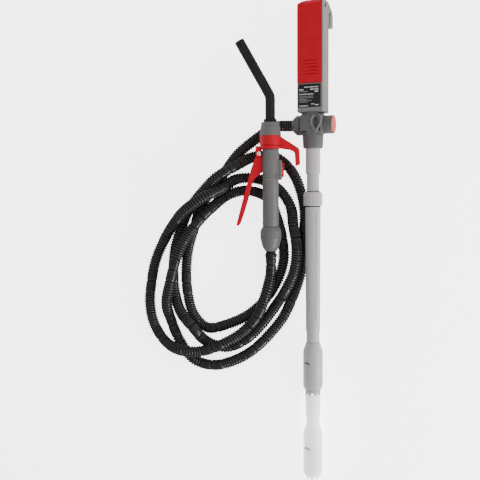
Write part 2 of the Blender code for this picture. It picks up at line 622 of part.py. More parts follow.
def trigger(nozzle):
    pivot_x, pivot_z = LEVER_PIVOT
    axis = frame("lever_axis", nozzle, (pivot_x, 0, pivot_z))
    outline = [(-26.6, -3.6), (-27.4, -14), (-35.7, -35.2), (-39.5, -48.3), (-57.6, -114.2), (-64.6, -141.5),
               (-63.2, -144.0), (-59.8, -144.0), (-55.2, -139.5), (-51.6, -132.5), (-44.8, -114.2),
               (-30.2, -61.4), (-25.2, -51.4), (-17.6, -46.0), (-16.7, -44.5), (-16.7, -7), (-18.5, -3.2)]
    relative = [(x - pivot_x, z - pivot_z) for x, z in outline]
    lever = prism("trigger_lever", relative, -LEVER_HALF, LEVER_HALF, axis)
    cut(lever, rod("lever_hole", 2.06, -9, 9, axis, along="Y", steps=24, tool=True))
    paint(lever, RED, 0.38)
    stem_axis = frame("stem_axis", nozzle, (0, 0, STEM_AT), ((90, "Y"),))
    stem_line = [(0, 2.2), (3.4, 2.2), (3.4, 0.6), (2.5, 0.2), (2.5, -15.6), (1.8, -16.3), (0, -16.3)]
    stem = turned("valve_stem", stem_line, stem_axis, steps=32)
    paint(stem, STEEL, 0.3, 1.0)


def grip(nozzle):
    """Grey grip with the lever pocket, the side boss and the flow passage."""
    body = turned("nozzle_body", [
        (0, 24.7), (14.0, 24.7), (14.0, 0), (GRIP_R, 0), (GRIP_R, -54), (GRIP_R - 0.6, -56),
        (GRIP_R - 0.6, GRIP_END), (13.0, GRIP_END), (13.0, -164), (0, -164)], nozzle, steps=48)
    boss = block("boss_add", (10, -6.5, -57.8), (21.5, 6.5, -20.4), nozzle, True)
    bevel(boss, 1.5, 3)
    join(body, boss)
    cut(body,
        rod("flow_cut", 6.5, -166, 26, nozzle, at=(5, 0, 0), steps=32, tool=True),
        block("pocket_cut", (-18, -LEVER_HALF - 0.5, -59), (-6, LEVER_HALF + 0.5, -1.6), nozzle, True))
    stem_axis = frame("guide_axis", nozzle, (0, 0, STEM_AT), ((90, "Y"),))
    cut(body, rod("guide_cut", 2.55, -8, 1, stem_axis, steps=32, tool=True))
    paint(body, DARK_GREY)
    strip = prism("lock_slider", [(21.8, -54), (25.2, -51), (25.2, -28), (21.8, -24)], -3.2, 3.2, nozzle)
    paint(strip, RED, 0.38)
    nut = turned("tail_nut", [
        (14.9, GRIP_END - GAP), (17.8, -149), (20.0, -154.5), (20.0, -167), (15.8, -184), (10.6, TAIL_END),
        (8.4, TAIL_END), (8.4, -169), (13.4, -169), (13.4, GRIP_END - GAP)], nozzle, steps=48)
    paint(nut, DARK_GREY)
    barb = turned("hose_ferrule", [
        (12.4, -164.3), (12.4, -167.0), (7.6, -167.0), (7.6, TAIL_END + 0.2), (5.6, TAIL_END + 0.2),
        (5.6, -164.3)], nozzle)
    paint(barb, BRASS, 0.35, 1.0)


# ---------------------------------------------------------------- hose

def smooth_line(points, per_span):
    """A Catmull-Rom curve through the points."""
    ends = [2 * points[0] - points[1], *points, 2 * points[-1] - points[-2]]
    line = []
    for a, b, c, d in zip(ends, ends[1:], ends[2:], ends[3:]):
        for i in range(per_span):
            t = i / per_span
            line.append(0.5 * (2 * b + (c - a) * t + (2 * a - 5 * b + 4 * c - d) * t * t
                               + (3 * b - a - 3 * c + d) * t ** 3))
    line.append(points[-1])
    return line


def even_points(line, count):
    """Points at equal distances along a line."""
    lengths = [0.0]
    for a, b in zip(line, line[1:]):
        lengths.append(lengths[-1] + (b - a).length)
    points = []
    segment = 0
    for i in range(count):
        wanted = lengths[-1] * i / (count - 1)
        while segment < len(line) - 2 and lengths[segment + 1] < wanted:
            segment += 1
        share = (wanted - lengths[segment]) / (lengths[segment + 1] - lengths[segment])
        points.append(line[segment].lerp(line[segment + 1], share))
    return points


def hose(layout):
    route = [Vector(point) for point in HOSE_ROUTE]
    points = even_points(smooth_line(route, 24), HOSE_POINTS)
    for point in points:
        point.z = max(point.z, HOSE_R + GAP)
    paint(pipe("hose", points, HOSE_R, layout, 3), BLACK, 0.5)


def hose_tie(nozzle):
    paint(ring("hose_tie", 11.4, 10.1, -202.5, -197.5, nozzle), BLACK, 0.4)


# ---------------------------------------------------------------- assembly

clear_scene()
PARTS = collection("transfer_pump")
TOOLS = collection("cutters")
LAYOUT = frame("layout", None, DATUM)
PUMP = frame("pump", LAYOUT, PUMP_FOOT, ((PUMP_RISE - 90, "X"), (-PUMP_ROLL, Vector((
    0, math.cos(math.radians(PUMP_RISE)), math.sin(math.radians(PUMP_RISE)))))))
NOZZLE = frame("nozzle", LAYOUT, NOZZLE_SEAT, ((NOZZLE_RISE - 90, "X"),))

head_housing(PUMP)
battery_cover(PUMP)
head_contents(PUMP)
hang_hook(PUMP)
pump_tee(PUMP)
outlet_parts(PUMP)
upper_tubes(PUMP)
lower_tubes(PUMP)
rotor(PUMP)
intake_parts(PUMP)
nozzle_front(NOZZLE)
guard_collar(NOZZLE)
trigger(NOZZLE)
grip(NOZZLE)
hose_tie(NOZZLE)
hose(LAYOUT)
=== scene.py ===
"""Battery transfer pump with telescopic tube, hose and trigger nozzle: the visual model.

Shapes are drawn in millimetres in two local frames taken from the joints.  PUMP has Z
along the tube from the foot to the head, X to the button side and -Y to the front.
NOZZLE has Z from the grip to the spout, X to the guard side and -Y to the top.
"""
import json
import math
import random

import bmesh
import bpy
from mathutils import Matrix, Vector


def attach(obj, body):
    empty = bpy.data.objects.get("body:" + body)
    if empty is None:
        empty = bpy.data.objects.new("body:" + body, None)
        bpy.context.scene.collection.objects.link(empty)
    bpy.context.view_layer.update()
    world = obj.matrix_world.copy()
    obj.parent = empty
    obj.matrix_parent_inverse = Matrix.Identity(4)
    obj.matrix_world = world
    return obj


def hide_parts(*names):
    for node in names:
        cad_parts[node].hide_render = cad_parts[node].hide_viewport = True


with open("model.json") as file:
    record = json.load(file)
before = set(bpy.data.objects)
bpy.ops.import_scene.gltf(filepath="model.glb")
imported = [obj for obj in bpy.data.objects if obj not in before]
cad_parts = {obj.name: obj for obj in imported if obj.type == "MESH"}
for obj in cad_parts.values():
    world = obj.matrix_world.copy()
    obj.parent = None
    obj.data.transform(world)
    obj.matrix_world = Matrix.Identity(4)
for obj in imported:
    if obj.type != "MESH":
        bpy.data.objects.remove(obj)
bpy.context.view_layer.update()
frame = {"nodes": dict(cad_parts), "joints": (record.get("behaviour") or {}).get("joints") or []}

MM = 0.001
DATUM = Vector((-87.41, 5.03, 0.0))   # where the hose's route has its origin, in the frame
JOINTS = {joint["name"]: joint for joint in frame["joints"]}
CLAMP_NUT_AT = 530      # the clamp nut's joint, counted from the foot
TAIL_NUT_AT = -165      # the tail nut's joint, counted from the guard collar's lower edge

HOSE_R = 9.6
HOSE_ROUTE = (
    (99.6, 214.5, 36.2), (64, 214, 25.2), (29, 193, 15.5), (-6, 165, 10), (-31, 131, 10),
    (-56, 98, 10), (-78, 62, 10), (-91, 22, 10), (-102, -18, 10), (-106, -60, 10),
    (-103, -102, 10), (-92, -142, 10), (-64, -169, 10), (-23, -161, 10), (15, -143, 10),
    (46, -115, 10), (69, -80, 10), (82, -40, 10), (80, 1, 10), (70, 42, 10),
    (52, 80, 10), (14, 95, 10), (-26, 86, 10), (-56, 61, 21), (-83, 31, 34),
    (-108, -2, 32), (-124, -41, 34), (-134, -82, 34), (-142, -122, 26), (-134, -159, 10),
    (-117, -197, 10), (-91, -230, 10), (-52, -241, 10), (-11, -231, 10), (25, -210, 10),
    (55, -181, 10), (81, -148, 10), (99, -110, 10), (113, -70, 10), (119, -29, 10),
    (121, 13, 10), (122, 55, 10), (114, 96, 10), (96, 134, 10), (64, 160, 10),
    (24, 159, 14), (-9, 140, 31), (-45, 119, 34), (-74, 89, 33), (-99, 57, 25),
    (-116, 23, 10), (-128, -18, 10), (-131, -60, 10), (-128, -102, 10), (-115, -138, 22),
    (-89, -168, 33), (-66, -195, 13), (-27, -206, 10), (11, -190, 10), (41, -161, 10),
    (66, -127, 13), (87, -94, 28), (103, -56, 31), (107, -14, 31), (101, 26, 23),
    (95, 65, 10), (71, 99, 10), (33, 117, 10), (-8, 117, 13), (-37, 96, 34),
    (-69, 79, 55), (-103, 56, 49), (-129, 29, 30), (-150, -2, 11), (-166, -40, 10),
    (-174, -81, 10), (-177, -123, 10), (-168, -164, 10), (-144, -197, 17), (-110, -211, 34),
    (-69, -211, 31), (-30, -196, 32), (5, -175, 29), (33, -144, 32), (48, -105, 34),
    (57.8, -64, 26.6), (58.7, -21.4, 31.2),
)
# distances along the hose where a smooth cuff starts; between two of them cuffs are evenly spread
CUFF_SITES = (24, 965, 1310, 1403, 1519, 1914, 2866, 2992, 3111, 3339, 3550)
CUFF_PITCH = 118
CUFF_LENGTH = 46
RIDGE_PITCH = 4.9


def local_frame(joint, right, at):
    """X right and Z along a joint's axis, with the joint's point at a distance along Z."""
    up = Vector(joint["axis"]).normalized()
    right = Vector(right).normalized()
    matrix = Matrix((right, up.cross(right), up)).transposed().to_4x4()
    matrix.translation = Vector(joint["pos_m"]) - up * at * MM
    return matrix


PUMP = local_frame(JOINTS["clamp_nut_turn"], -Vector(JOINTS["cover_hinge"]["axis"]), CLAMP_NUT_AT)
NOZZLE = local_frame(JOINTS["tail_nut_turn"], (1, 0, 0), TAIL_NUT_AT)
LAYOUT = Matrix.Translation(DATUM * MM)


# ---------------------------------------------------------------- camera and light

def camera():
    """A viewpoint above the piece, tilted a little along the frame's X, as in the photograph."""
    lens = bpy.data.cameras.new("camera")
    lens.sensor_width = 36.0
    lens.lens = 59.21
    lens.clip_start = 0.05
    obj = bpy.data.objects.new("camera", lens)
    obj.location = (0.04332, 0.00503, 1.52429)
    obj.rotation_euler = (0, math.radians(5), 0)
    bpy.context.scene.collection.objects.link(obj)
    bpy.context.scene.camera = obj


def lamp(name, at, aim, size, power, mirrored):
    """An area light; one that isn't mirrored lights the pieces without a highlight of its own."""
    light = bpy.data.lights.new(name, "AREA")
    light.shape = "RECTANGLE"
    light.size, light.size_y = size
    light.energy = power
    obj = bpy.data.objects.new(name, light)
    obj.location = at
    obj.rotation_euler = (Vector(aim) - Vector(at)).to_track_quat("-Z", "Y").to_euler()
    obj.visible_glossy = mirrored
    bpy.context.scene.collection.objects.link(obj)


WORLD_LIGHT = 0.22
FLOOR_HALF = 4.0
FLOOR_GLOW = 3.6
LAMPS = (
    # name, place, aim, size, power, mirrored
    ("strip", (1.25, -0.95, 0.62), (0, -0.05, 0), (1.7, 0.08), 30, True),
    ("key", (1.0, 0.7, 1.5), (0, 0, 0), (0.9, 1.2), 26, False),
    ("fill", (-1.1, 0.1, 1.5), (0, 0, 0), (1.3, 1.6), 15, False),
)


def studio():
    """Soft light and a pale floor that glows a little, so that it stays near white."""
    world = bpy.data.worlds.new("studio")
    world.use_nodes = True
    back = world.node_tree.nodes["Background"]
    back.inputs["Color"].default_value = (1.0, 1.0, 1.0, 1.0)
    back.inputs["Strength"].default_value = WORLD_LIGHT
    bpy.context.scene.world = world
    for row in LAMPS:
        lamp(*row)
    floor = bpy.data.meshes.new("floor")
    shape = bmesh.new()
    bmesh.ops.create_grid(shape, x_segments=1, y_segments=1, size=FLOOR_HALF)
    shape.to_mesh(floor)
    shape.free()
    obj = bpy.data.objects.new("floor", floor)
    bpy.context.scene.collection.objects.link(obj)
    skin, shader, nodes, links = new_skin("floor_paper")
    shader.inputs["Roughness"].default_value = 0.95
    shader.inputs["Specular IOR Level"].default_value = 0.1
    tint(nodes, links, shader, (0.96, 0.96, 0.96), 0.012, 9.0)
    shader.inputs["Emission Color"].default_value = (1.0, 1.0, 1.0, 1.0)
    shader.inputs["Emission Strength"].default_value = FLOOR_GLOW
    floor.materials.append(skin)
    obj.visible_glossy = False


# ---------------------------------------------------------------- materials

def new_skin(name):
    """A new material with its shader, nodes and links."""
    skin = bpy.data.materials.new(name)
    skin.use_nodes = True
    nodes = skin.node_tree.nodes
    return skin, nodes["Principled BSDF"], nodes, skin.node_tree.links


def noise_at(nodes, links, scale, detail=3.0, stretch=(1, 1, 1)):
    """A noise texture in the object's own space, stretched along the frame's axes."""
    place = nodes.new("ShaderNodeTexCoord")
    mapping = nodes.new("ShaderNodeMapping")
    mapping.inputs["Scale"].default_value = stretch
    links.new(place.outputs["Object"], mapping.inputs["Vector"])
    texture = nodes.new("ShaderNodeTexNoise")
    texture.inputs["Scale"].default_value = scale
    texture.inputs["Detail"].default_value = detail
    links.new(mapping.outputs["Vector"], texture.inputs["Vector"])
    return texture.outputs["Fac"]


def ranged(nodes, links, value, low, high, start=0.3, stop=0.7):
    """The value stretched so that start to stop becomes low to high."""
    step = nodes.new("ShaderNodeMapRange")
    step.inputs["From Min"].default_value = start
    step.inputs["From Max"].default_value = stop
    step.inputs["To Min"].default_value = low
    step.inputs["To Max"].default_value = high
    links.new(value, step.inputs["Value"])
    return step.outputs["Result"]


def mixed(nodes, links, share, first, second):
    """A colour mix; each side is a colour or another node's output."""
    mix = nodes.new("ShaderNodeMix")
    mix.data_type = "RGBA"
    links.new(share, mix.inputs["Factor"])
    for socket, value in ((mix.inputs[6], first), (mix.inputs[7], second)):
        if isinstance(value, tuple):
            socket.default_value = (*value, 1.0)
        else:
            links.new(value, socket)
    return mix.outputs[2]


def shade(colour, factor):
    """The colour made lighter or darker."""
    return tuple(min(1.0, channel * factor) for channel in colour)


EDGE_WEAR_AND_HIGHLIGHT, CREASE_SHADE = 1.55, 0.35    # how much lighter an edge is painted, for wear and a painted highlight, and how dark the painted shade in a crease is


def tint(nodes, links, shader, colour, spread, scale, stretch=(1, 1, 1), wear_and_shade=0.0):
    """Colour that drifts a little over the surface, painted lighter at edges for wear and highlight, and
    painted darker in creases as shade.
    """
    drift = ranged(nodes, links, noise_at(nodes, links, scale, 5.0, stretch), 0.0, 1.0)
    result = mixed(nodes, links, drift, shade(colour, 1 - spread), shade(colour, 1 + spread))
    if wear_and_shade:
        place = nodes.new("ShaderNodeNewGeometry")
        # painted highlight and wear: sharp edges are made lighter
        edge = ranged(nodes, links, place.outputs["Pointiness"], 0.0, wear_and_shade, 0.52, 0.62)
        result = mixed(nodes, links, edge, result, shade(colour, EDGE_WEAR_AND_HIGHLIGHT))
        # painted shade: creases and hollows are made darker
        crease_shade_mask = ranged(nodes, links, place.outputs["Pointiness"], 0.55, 0.0, 0.40, 0.49)
        result = mixed(nodes, links, crease_shade_mask, result, shade(colour, CREASE_SHADE))
    links.new(result, shader.inputs["Base Color"])


def relief(nodes, links, shader, layers):
    """Bump from (scale, stretch, depth in mm) layers, one on another."""
    normal = None
    for scale, stretch, depth in layers:
        step = nodes.new("ShaderNodeBump")
        step.inputs["Strength"].default_value = 1.0
        step.inputs["Distance"].default_value = depth * MM
        links.new(noise_at(nodes, links, scale, 2.0, stretch), step.inputs["Height"])
        if normal:
            links.new(normal, step.inputs["Normal"])
        normal = step.outputs["Normal"]
    links.new(normal, shader.inputs["Normal"])


def plastic(name, colour, rough=0.4, grain=0.02, spread=0.04, wear_and_shade=0.35, milky=0.0, along=False,
            gloss=0.5):
    """Moulded plastic: fine spark-eroded grain, slow colour drift, edges painted lighter for wear and
    highlight, and creases painted darker as shade.

    A milky plastic scatters light inside and glows a little, for the light that passes through
    it.  Along draws the marks out in the frame's Y, the way the tube lies.
    """
    skin, shader, nodes, links = new_skin(name)
    stretch = (1.0, 0.06, 1.0) if along else (1.0, 1.0, 1.0)
    tint(nodes, links, shader, colour, spread, 55.0, stretch, wear_and_shade)
    shader.inputs["Specular IOR Level"].default_value = gloss
    patches = noise_at(nodes, links, 90.0, 4.0, stretch)
    links.new(ranged(nodes, links, patches, rough - 0.06, rough + 0.08), shader.inputs["Roughness"])
    relief(nodes, links, shader, ((2400.0, (1, 1, 1), grain), (160.0, stretch, grain * 1.4)))
    if milky:
        shader.inputs["Emission Color"].default_value = (1.0, 0.97, 0.96, 1.0)
        shader.inputs["Emission Strength"].default_value = 0.5 * milky ** 2
        shader.inputs["Subsurface Weight"].default_value = milky
        shader.inputs["Subsurface Radius"].default_value = (1.0, 0.95, 0.9)
        shader.inputs["Subsurface Scale"].default_value = 0.006
    return skin


def metal(name, colour, rough=0.25, metallic=1.0):
    """Metal with cloudy patches of dull and bright."""
    skin, shader, nodes, links = new_skin(name)
    shader.inputs["Metallic"].default_value = metallic
    tint(nodes, links, shader, colour, 0.06, 200.0)
    patches = noise_at(nodes, links, 700.0, 4.0)
    links.new(ranged(nodes, links, patches, rough - 0.08, rough + 0.12), shader.inputs["Roughness"])
    relief(nodes, links, shader, ((900.0, (1, 1, 1), 0.006),))
    return skin


def rubber(name, colour, rough, crest_wear_and_highlight):
    """Black flexible plastic: dusty patches over a sheen, and ridge crests painted paler, a painted
    highlight that also stands for rubbing.
    """
    skin, shader, nodes, links = new_skin(name)
    shader.inputs["Specular IOR Level"].default_value = 0.45
    haze = ranged(nodes, links, noise_at(nodes, links, 38.0, 6.0), 0.0, 0.5, 0.45, 0.75)
    dust_and_crest_highlight = mixed(nodes, links, haze, colour, shade(colour, 2.1))
    place = nodes.new("ShaderNodeNewGeometry")
    # painted highlight: the ridge crests are made paler
    crest = ranged(nodes, links, place.outputs["Pointiness"], 0.0, 1.0, 0.51, 0.6)
    dust_and_crest_highlight = mixed(nodes, links, crest, dust_and_crest_highlight, shade(colour, crest_wear_and_highlight))
    links.new(dust_and_crest_highlight, shader.inputs["Base Color"])
    patches = noise_at(nodes, links, 120.0, 5.0)
    links.new(ranged(nodes, links, patches, rough - 0.1, rough + 0.12), shader.inputs["Roughness"])
    relief(nodes, links, shader, ((1500.0, (1, 1, 1), 0.012), (300.0, (1, 1, 1), 0.02)))
    return skin


# name, colour, roughness, grain depth in mm, colour spread, edge wear with painted edge highlight and
# painted crease shade, milkiness, along
RED_SKIN = plastic("red_plastic", (0.44, 0.006, 0.017), 0.40, 0.012, 0.05, 0.22, gloss=0.2)
BUTTON_SKIN = plastic("button_red", (0.56, 0.075, 0.075), 0.40, 0.012, 0.05, 0.3, gloss=0.4)
HOUSING_SKIN = plastic("housing_grey", (0.160, 0.152, 0.150), 0.46, 0.022, 0.04, 0.3)
GREY_SKIN = plastic("dark_grey_plastic", (0.092, 0.090, 0.091), 0.46, 0.022, 0.05, 0.5)
# a lighter grey than the tee's body, for its ribs and front band
RIB_SKIN = plastic("lighter_grey_plastic", (0.135, 0.132, 0.133), 0.42, 0.022, 0.05, 0.5)
NOZZLE_SKIN = plastic("nozzle_grey", (0.115, 0.113, 0.110), 0.46, 0.022, 0.05, 0.45)
# a lighter copy of the nozzle grey: a painted highlight for the grip's step line
GRIP_HIGHLIGHT_SKIN = plastic("nozzle_grey_painted_highlight", (0.19, 0.187, 0.182), 0.42, 0.022, 0.05, 0.45)
TUBE_SKIN = plastic("tube_grey", (0.42, 0.405, 0.400), 0.38, 0.012, 0.03, 0.12, 0.10, True)
MILKY_SKIN = plastic("milky_plastic", (0.95, 0.93, 0.92), 0.36, 0.012, 0.02, 0.08, 1.0, True)
BLACK_SKIN = plastic("black_plastic", (0.016, 0.016, 0.015), 0.36, 0.012, 0.08, 0.25, gloss=0.3)
SPOUT_SKIN = plastic("spout_black", (0.013, 0.013, 0.013), 0.27, 0.008, 0.08, 0.2)
# the last number says how much paler the painted highlight makes the ridge crests
HOSE_SKIN = rubber("hose_black", (0.0055, 0.0055, 0.0055), 0.28, 9.0)
SEAL_SKIN = rubber("seal_black", (0.012, 0.012, 0.012), 0.55, 1.5)
STEEL_SKIN = metal("steel", (0.72, 0.72, 0.72))
PLATED_SKIN = metal("plated_steel", (0.72, 0.72, 0.72), 0.4, metallic=0.3)
BRASS_SKIN = metal("brass", (0.62, 0.45, 0.20))
BOARD_SKIN = plastic("board_green", (0.02, 0.12, 0.05), 0.4)
INK_SKIN = plastic("label_ink", (0.60, 0.60, 0.60), 0.5, 0.01, 0.06, 0.0)
DIM_INK_SKIN = plastic("label_ink_dim", (0.26, 0.26, 0.26), 0.5, 0.01, 0.06, 0.0)
JACKET_SKIN = plastic("battery_jacket", (0.05, 0.06, 0.10), 0.3, 0.01, 0.08, 0.2)


# ---------------------------------------------------------------- shape helpers

def soften(outline, radius, closed=True, steps=3):
    """Round the corners of an outline with short curves."""
    count = len(outline)
    points = []
    for i, (x, y) in enumerate(outline):
        if not closed and i in (0, count - 1):
            points.append((x, y))
            continue
        here = Vector((x, y))
        before = Vector(outline[i - 1]) - here
        after = Vector(outline[(i + 1) % count]) - here
        reach = min(radius, 0.45 * before.length, 0.45 * after.length)
        start = here + before.normalized() * reach
        stop = here + after.normalized() * reach
        for k in range(steps + 1):
            t = k / steps
            point = start * (1 - t) ** 2 + here * 2 * t * (1 - t) + stop * t ** 2
            points.append((point.x, point.y))
    return points


FLUTE_REACH = 1.2      # flutes are cut where a shape is within this of its widest


def lathe(outline, round_by=0.5, steps=72, flutes=None):
    """A closed turned shape about Z from (radius, height) points.

    Flutes are (count, depth, low, high) round the outside.
    """
    closed = outline[0][0] > 0
    if round_by:
        outline = soften(outline, round_by, closed)
    count, depth, low, high = flutes or (0, 0, 0, 0)
    fluted_from = max(r for r, z in outline) - FLUTE_REACH
    shape = bmesh.new()
    rings = []
    for i in range(steps):
        turn = 2 * math.pi * i / steps
        verts = []
        for r, z in outline:
            if flutes and low <= z <= high and r > fluted_from:
                r -= depth * (0.5 + 0.5 * math.cos(count * turn)) ** 2
            verts.append(shape.verts.new((r * math.cos(turn), r * math.sin(turn), z)))
        rings.append(verts)
    last = len(outline) if closed else len(outline) - 1
    for i in range(steps):
        a, b = rings[i], rings[(i + 1) % steps]
        for j in range(last):
            k = (j + 1) % len(outline)
            shape.faces.new((a[j], b[j], b[k], a[k]))
    bmesh.ops.remove_doubles(shape, verts=shape.verts, dist=0.0005)
    bmesh.ops.recalc_face_normals(shape, faces=shape.faces)
    return shape


def ring(outer, inner, low, high, round_by=0.4, **options):
    """A short tube about Z."""
    return lathe([(outer, high), (outer, low), (inner, low), (inner, high)], round_by, **options)


def rod(radius, low, high, round_by=0.3, steps=48):
    """A cylinder about Z."""
    return lathe([(0, high), (radius, high), (radius, low), (0, low)], round_by, steps)


def round_edges(shape, width, segments=3):
    """Round every edge sharper than 30 degrees."""
    if width:
        sharp = math.radians(30)
        edges = [e for e in shape.edges if e.is_manifold and e.calc_face_angle() > sharp]
        bmesh.ops.bevel(shape, geom=edges, offset=width, segments=segments, profile=0.5,
                        affect="EDGES", clamp_overlap=True)
    return shape


def block(low, high, width=0.0, segments=3):
    """A box between two corners, its edges rounded by a width."""
    shape = bmesh.new()
    bmesh.ops.create_cube(shape, size=1.0)
    low, high = Vector(low), Vector(high)
    for vertex in shape.verts:
        vertex.co = Vector(a * b for a, b in zip(vertex.co, high - low)) + (low + high) / 2
    return round_edges(shape, width, segments)


def prism(outline, low, high, along="Y", width=0.0, segments=3):
    """A flat outline drawn out: (y, z) points along X, (x, z) points along Y, (x, y) along Z."""
    shape = bmesh.new()
    ends = []
    for level in (low, high):
        verts = []
        for u, v in outline:
            place = {"X": (level, u, v), "Y": (u, level, v), "Z": (u, v, level)}[along]
            verts.append(shape.verts.new(place))
        ends.append(verts)
    shape.faces.new(ends[0])
    shape.faces.new(reversed(ends[1]))
    for i in range(len(outline)):
        j = (i + 1) % len(outline)
        shape.faces.new((ends[0][i], ends[1][i], ends[1][j], ends[0][j]))
    bmesh.ops.recalc_face_normals(shape, faces=shape.faces)
    return round_edges(shape, width, segments)


def arc(centre, radius, start, stop, count):
    """Points on an arc, from one angle in degrees to another."""
    points = []
    for i in range(count + 1):
        angle = math.radians(start + (stop - start) * i / count)
        points.append((centre[0] + radius * math.cos(angle), centre[1] + radius * math.sin(angle)))
    return points


def sweep(points, radii, sides=20, bore=None):
    """A round tube along points; with a bore it is open at both ends."""
    shape = bmesh.new()
    way = (points[1] - points[0]).normalized()
    across = way.orthogonal().normalized()
    outer, inner = [], []
    for i, point in enumerate(points):
        ahead = points[min(i + 1, len(points) - 1)] - points[max(i - 1, 0)]
        ahead.normalize()
        across = (across - ahead * across.dot(ahead)).normalized()
        third = ahead.cross(across)
        for store, radius in ((outer, radii[i]), (inner, bore)):
            if radius is None:
                continue
            verts = []
            for k in range(sides):
                turn = 2 * math.pi * k / sides
                spot = point + (across * math.cos(turn) + third * math.sin(turn)) * radius
                verts.append(shape.verts.new(spot))
            store.append(verts)
    rings = outer + inner[::-1]
    spans = list(zip(rings, rings[1:]))
    if bore:
        spans.append((rings[-1], rings[0]))
    for a, b in spans:
        for k in range(sides):
            m = (k + 1) % sides
            shape.faces.new((a[k], a[m], b[m], b[k]))
    if not bore:
        shape.faces.new(outer[0])
        shape.faces.new(reversed(outer[-1]))
    bmesh.ops.recalc_face_normals(shape, faces=shape.faces)
    return shape


def moved(shape, at=(0, 0, 0), along="Z", spin=0.0):
    """Turn a shape made about Z to lie along X or Y, spin it about Z and shift it."""
    turn = Matrix.Identity(4)
    if along == "X":
        turn = Matrix.Rotation(math.radians(90), 4, "Y")
    if along == "Y":
        turn = Matrix.Rotation(math.radians(-90), 4, "X")
    turn = Matrix.Rotation(math.radians(spin), 4, "Z") @ turn
    bmesh.ops.transform(shape, matrix=Matrix.Translation(at) @ turn, verts=shape.verts)
    return shape


def as_object(shape):
    mesh = bpy.data.meshes.new("work")
    shape.to_mesh(mesh)
    shape.free()
    obj = bpy.data.objects.new("work", mesh)
    bpy.context.scene.collection.objects.link(obj)
    return obj


def combined(shape, operation, tools):
    """A boolean of closed shapes, which are all used up."""
    base = as_object(shape)
    others = [as_object(tool) for tool in tools]
    for other in others:
        step = base.modifiers.new("step", "BOOLEAN")
        step.operation = operation
        step.solver = "EXACT"
        step.object = other
    graph = bpy.context.evaluated_depsgraph_get()
    mesh = bpy.data.meshes.new_from_object(base.evaluated_get(graph))
    result = bmesh.new()
    result.from_mesh(mesh)
    for obj in (base, *others):
        bpy.data.objects.remove(obj)
    return result


def carved(shape, *tools):
    return combined(shape, "DIFFERENCE", tools)


def fused(shape, *tools):
    return combined(shape, "UNION", tools)


def gathered(shapes):
    """Several separate shapes as one."""
    whole = bmesh.new()
    for shape in shapes:
        mesh = bpy.data.meshes.new("work")
        shape.to_mesh(mesh)
        shape.free()
        whole.from_mesh(mesh)
        bpy.data.meshes.remove(mesh)
    return whole


def piece(name, shape, place, skin, body, *replaced, slot=None, smooth=32):
    """Put a shape drawn in a local frame into the scene as a piece that rides on a body."""
    bmesh.ops.transform(shape, matrix=place @ Matrix.Scale(MM, 4), verts=shape.verts)
    mesh = bpy.data.meshes.new(name)
    shape.to_mesh(mesh)
    shape.free()
    mesh.shade_smooth()
    mesh.set_sharp_from_angle(angle=math.radians(smooth))
    mesh.materials.append(skin)
    obj = bpy.data.objects.new(name, mesh)
    bpy.context.scene.collection.objects.link(obj)
    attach(obj, body)
    if replaced:
        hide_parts(*replaced)
    return obj


def around(radius, angle, z):
    """A point on a cylinder about Z, the angle counted from the front towards the right."""
    turn = math.radians(angle)
    return Vector((radius * math.sin(turn), -radius * math.cos(turn), z))


# ---------------------------------------------------------------- hose

def smooth_line(points, per_span):
    """A Catmull-Rom curve through the points."""
    ends = [2 * points[0] - points[1], *points, 2 * points[-1] - points[-2]]
    line = []
    for a, b, c, d in zip(ends, ends[1:], ends[2:], ends[3:]):
        for i in range(per_span):
            t = i / per_span
            line.append(0.5 * (2 * b + (c - a) * t + (2 * a - 5 * b + 4 * c - d) * t * t
                               + (3 * b - a - 3 * c + d) * t ** 3))
    line.append(points[-1])
    return line


def cuff_starts():
    """Where each smooth cuff starts, as a distance along the hose."""
    starts = []
    for a, b in zip(CUFF_SITES, CUFF_SITES[1:]):
        count = max(1, round((b - a) / CUFF_PITCH))
        starts += [a + (b - a) * i / count for i in range(count)]
    return starts + [CUFF_SITES[-1]]


CREST_R, VALLEY_R, CUFF_R, GROOVE_R = HOSE_R + 1.15, HOSE_R - 0.9, HOSE_R + 0.5, HOSE_R - 0.6
CUFF_CHAMFER = 1.4
# share of the ridge pitch, share of the rise from valley to crest
RIDGE = ((0.0, 0), (0.10, 0), (0.20, 0.65), (0.32, 0.95), (0.55, 1), (0.78, 0.95), (0.90, 0.65))
# distance from a cuff's middle, radius
CUFF_GROOVE = ((-1.6, CUFF_R), (-0.8, GROOVE_R), (0.8, GROOVE_R), (1.6, CUFF_R))


def hose_rings(length):
    """(distance, radius) pairs along the hose: ridged stretches between smooth cuffs."""
    rings = []
    at = 0.0
    for start in cuff_starts():
        ridges = max(0, round((start - at) / RIDGE_PITCH))
        for i in range(ridges):
            pitch = (start - at) / ridges
            low = at + pitch * i
            rings += [(low + pitch * share, VALLEY_R + (CREST_R - VALLEY_R) * rise)
                      for share, rise in RIDGE]
        stop = min(start + CUFF_LENGTH, length)
        middle = (start + stop) / 2
        first, last = start + CUFF_CHAMFER, stop - CUFF_CHAMFER
        rings += [(start, VALLEY_R), (first, CUFF_R), (last, CUFF_R), (stop, VALLEY_R)]
        rings += [(middle + along, radius) for along, radius in CUFF_GROOVE]
        before, after = middle + CUFF_GROOVE[0][0], middle + CUFF_GROOVE[-1][0]
        for share in (0.25, 0.5, 0.75):
            rings.append((first + (before - first) * share, CUFF_R))
            rings.append((after + (last - after) * share, CUFF_R))
        at = stop
    if at < length:
        rings.append((length, CUFF_R))
    return sorted(set(ring for ring in rings if ring[0] <= length))


